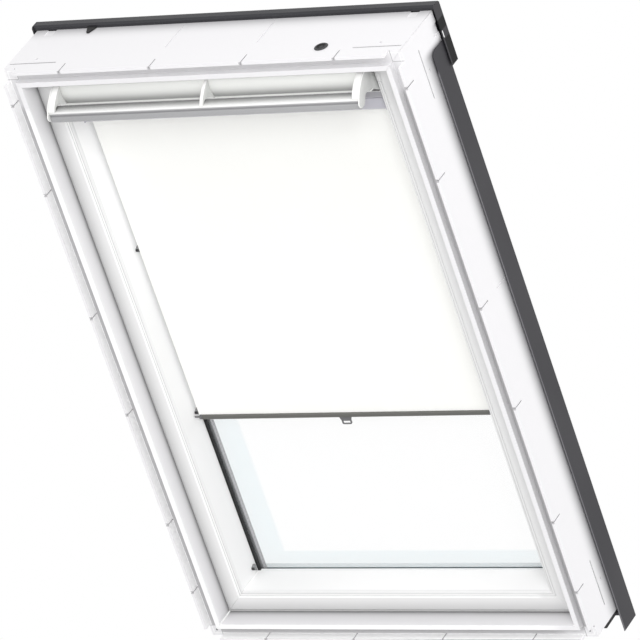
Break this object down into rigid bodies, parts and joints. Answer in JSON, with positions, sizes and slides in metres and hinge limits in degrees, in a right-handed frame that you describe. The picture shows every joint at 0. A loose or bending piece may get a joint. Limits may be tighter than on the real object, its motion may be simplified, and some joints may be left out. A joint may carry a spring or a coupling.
{
  "type": "roof window with roller blind",
  "caption": "Centre-pivot roof window with a top control bar that opens a ventilation flap, and a spring roller blind that hangs on side hooks",
  "frame": {"origin": "centre of the sill's lower outer face, 30 mm behind the room-side edge", "axes": "+X to the right seen from the room, +Y from the room to the weather, +Z from the sill to the head"},
  "size_m": [0.794, 0.1885, 1.232],
  "materials": {
    "white_lacquer": "white lacquer over wood",
    "grey_cover": "dark grey paint, satin",
    "black_rubber": "matt",
    "glass": "clear float glass",
    "plain_aluminium": "mill finish",
    "zinc_steel": "zinc plated",
    "flap_plastic": "satin",
    "bar_aluminium": "white satin",
    "white_plastic": "satin",
    "filter_foam": "open foam",
    "rail_metal": "light grey paint",
    "rail_plastic": "light grey",
    "blind_cloth": "smooth off-white cloth",
    "bottom_bar_metal": "grey anodised",
    "grey_plastic": "satin grey"
  },
  "bodies": {
    "frame": {"frame_head": "white_lacquer", "frame_sill": "white_lacquer", "frame_jamb_left": "white_lacquer", "frame_jamb_right": "white_lacquer", "frame_gasket": "black_rubber", "cable_grommet": "black_rubber", "striker_plate": "zinc_steel", "pivot_plate_left": "zinc_steel", "pivot_plate_right": "zinc_steel", "top_casing": "grey_cover", "casing_end_left": "grey_cover", "casing_end_right": "grey_cover", "casing_lug": "black_rubber", "side_cover_left": "grey_cover", "side_cover_right": "grey_cover", "bottom_cover": "grey_cover", "sill_rail": "black_rubber"},
    "sash": {"sash_head": "white_lacquer", "sash_sill": "white_lacquer", "sash_stile_left": "white_lacquer", "sash_stile_right": "white_lacquer", "pane_inner": "glass", "pane_outer": "glass", "glass_spacer": "plain_aluminium", "glazing_gasket": "black_rubber", "sash_cover_top": "grey_cover", "sash_cover_bottom": "grey_cover", "sash_cover_left": "grey_cover", "sash_cover_right": "grey_cover", "pivot_arm_left": "zinc_steel", "pivot_arm_right": "zinc_steel", "air_filter": "filter_foam", "lock_case": "zinc_steel", "blind_headrail": "rail_metal", "headrail_end_left": "rail_plastic", "headrail_end_right": "rail_plastic", "hook_left_upper": "grey_plastic", "hook_left_middle": "grey_plastic", "hook_left_lower": "grey_plastic", "hook_right_upper": "grey_plastic", "hook_right_middle": "grey_plastic", "hook_right_lower": "grey_plastic", "blind_fabric": "blind_cloth"},
    "flap": {"vent_flap": "flap_plastic", "control_bar": "bar_aluminium", "bar_bracket_left": "white_plastic", "bar_bracket_middle": "white_plastic", "bar_bracket_right": "white_plastic"},
    "roller": {"roller_tube": "plain_aluminium"},
    "bar": {"bottom_bar": "bottom_bar_metal", "bar_end_left": "grey_plastic", "bar_end_right": "grey_plastic", "pull_tab": "grey_plastic"}
  },
  "joints": [
    {"name": "sash_pivot", "type": "hinge", "parent": "frame", "child": "sash", "pos_m": [0, 0.0545, 0.589], "axis": [1, 0, 0], "range_deg": [0, 160]},
    {"name": "flap_tilt", "type": "hinge", "parent": "sash", "child": "flap", "pos_m": [0, 0.019, 1.087], "axis": [1, 0, 0], "range_deg": [0, 30]},
    {"name": "bar_slide", "type": "slide", "parent": "sash", "child": "bar", "axis": [0, 0, 1], "range_m": [-0.32, 0.602], "deforming": ["blind_fabric"]},
    {"name": "tube_spin", "type": "hinge", "parent": "sash", "child": "roller", "pos_m": [0, 0.05025, 1.0541], "axis": [1, 0, 0], "range_deg": [-3900, 2100]}
  ],
  "couplings": [
    {"joint": "tube_spin", "follows": "bar_slide", "rad_per_m": -112.36}
  ]
}
